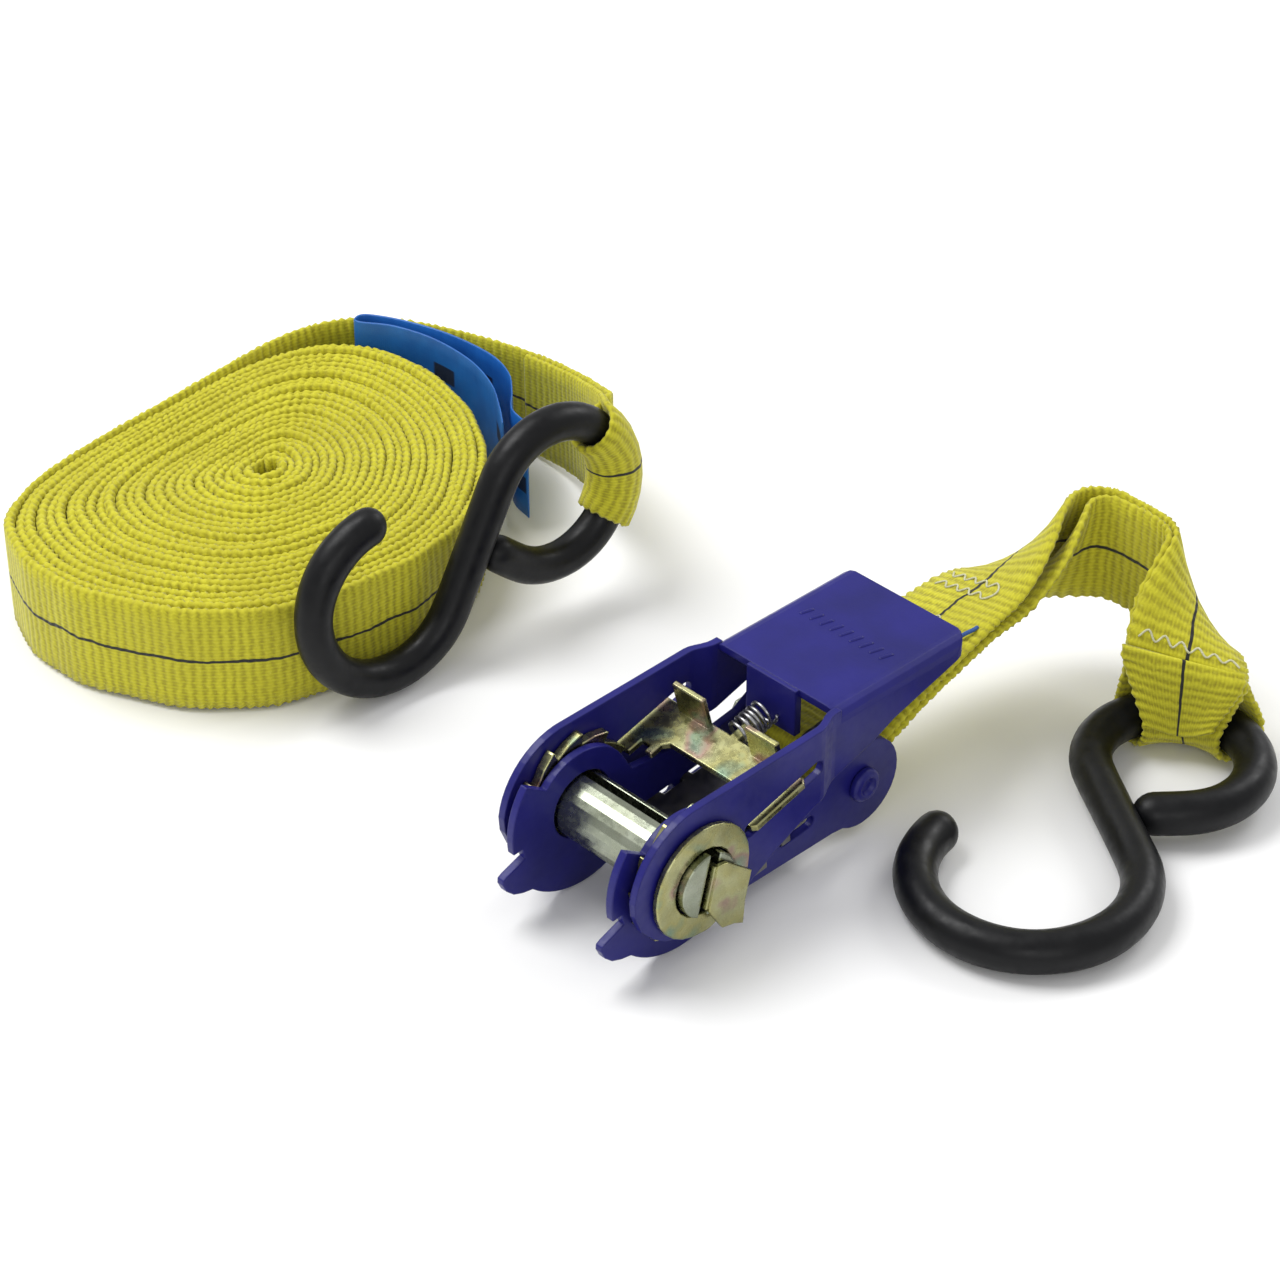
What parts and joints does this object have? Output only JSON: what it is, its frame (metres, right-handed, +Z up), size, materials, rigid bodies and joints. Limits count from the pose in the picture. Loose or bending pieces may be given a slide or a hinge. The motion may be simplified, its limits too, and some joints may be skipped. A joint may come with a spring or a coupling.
{
  "type": "ratchet strap",
  "caption": "Cargo ratchet strap set: lever ratchet with a short hooked strap, and a long hooked strap rolled up beside it.",
  "frame": {"origin": "middle of the box round the whole set, on the ground it lies on", "axes": "+X along the ratchet's spindle, away from the rolled strap; +Y from the spindle towards the grip; +Z up"},
  "size_m": [0.2676, 0.1677, 0.0518],
  "materials": {
    "blue_paint": "smooth semi-gloss blue powder coat, worn a little at the edges",
    "bright_zinc": "bright zinc plate",
    "yellow_zinc": "yellow-passivated zinc plate with a rainbow tint",
    "spring_steel": "drawn spring wire",
    "dark_steel": "dark zinc plate",
    "black_coating": "dipped black vinyl, satin",
    "yellow_webbing": "woven yellow polyester with a black centre line",
    "blue_label": "smooth coated blue label cloth"
  },
  "bodies": {
    "frame": {"frame_body": "blue_paint", "frame_bolt": "blue_paint", "bolt_nut": "bright_zinc", "bolt_sleeve": "bright_zinc", "short_webbing": "yellow_webbing", "lock_pawl_spring": "spring_steel"},
    "handle": {"handle": "blue_paint", "drive_pawl_spring": "spring_steel"},
    "spindle": {"spindle_half_front": "bright_zinc", "spindle_half_rear": "bright_zinc", "ratchet_wheel_left": "yellow_zinc", "ratchet_wheel_right": "yellow_zinc", "spindle_washer_left": "yellow_zinc", "spindle_washer_right": "yellow_zinc", "retaining_clip_left": "yellow_zinc", "retaining_clip_right": "yellow_zinc"},
    "drive_pawl": {"drive_pawl": "yellow_zinc"},
    "lock_pawl": {"lock_pawl": "dark_steel"},
    "ratchet_hook": {"ratchet_hook_core": "bright_zinc", "ratchet_hook_coating": "black_coating"},
    "rolled_strap": {"coiled_webbing": "yellow_webbing", "webbing_tail": "yellow_webbing", "label": "blue_label"},
    "strap_hook": {"strap_hook_core": "bright_zinc", "strap_hook_coating": "black_coating"}
  },
  "joints": [
    {"name": "handle_pivot", "type": "hinge", "parent": "frame", "child": "handle", "pos_m": [0.05444, -0.05102, 0.0196], "axis": [1, 0, 0], "range_deg": [0, 180]},
    {"name": "spindle_spin", "type": "hinge", "parent": "frame", "child": "spindle", "pos_m": [0.05444, -0.05102, 0.0196], "axis": [1, 0, 0], "continuous": true},
    {"name": "drive_pawl_slide", "type": "slide", "parent": "handle", "child": "drive_pawl", "axis": [0, 0.9659, 0.2588], "range_m": [-0.0015, 0.0045], "stiffness_N_per_m": 150, "deforming": ["drive_pawl_spring"]},
    {"name": "lock_pawl_slide", "type": "slide", "parent": "frame", "child": "lock_pawl", "axis": [0, 0.9945, 0.1045], "range_m": [0, 0.003], "stiffness_N_per_m": 150, "deforming": ["lock_pawl_spring"]},
    {"name": "ratchet_hook_swing", "type": "hinge", "parent": "frame", "child": "ratchet_hook", "pos_m": [0.10354, 0.05788, 0.0066], "axis": [0, -0.0279, 0.9996], "range_deg": [0, 60]},
    {"name": "roll_lift", "type": "slide", "parent": "frame", "child": "rolled_strap", "axis": [0, 0, 1], "range_m": [0, 0.05]},
    {"name": "strap_hook_swing", "type": "hinge", "parent": "rolled_strap", "child": "strap_hook", "pos_m": [-0.03256, 0.00998, 0.0307], "axis": [0.995, -0.0801, 0.0593], "range_deg": [-60, 0]}
  ]
}
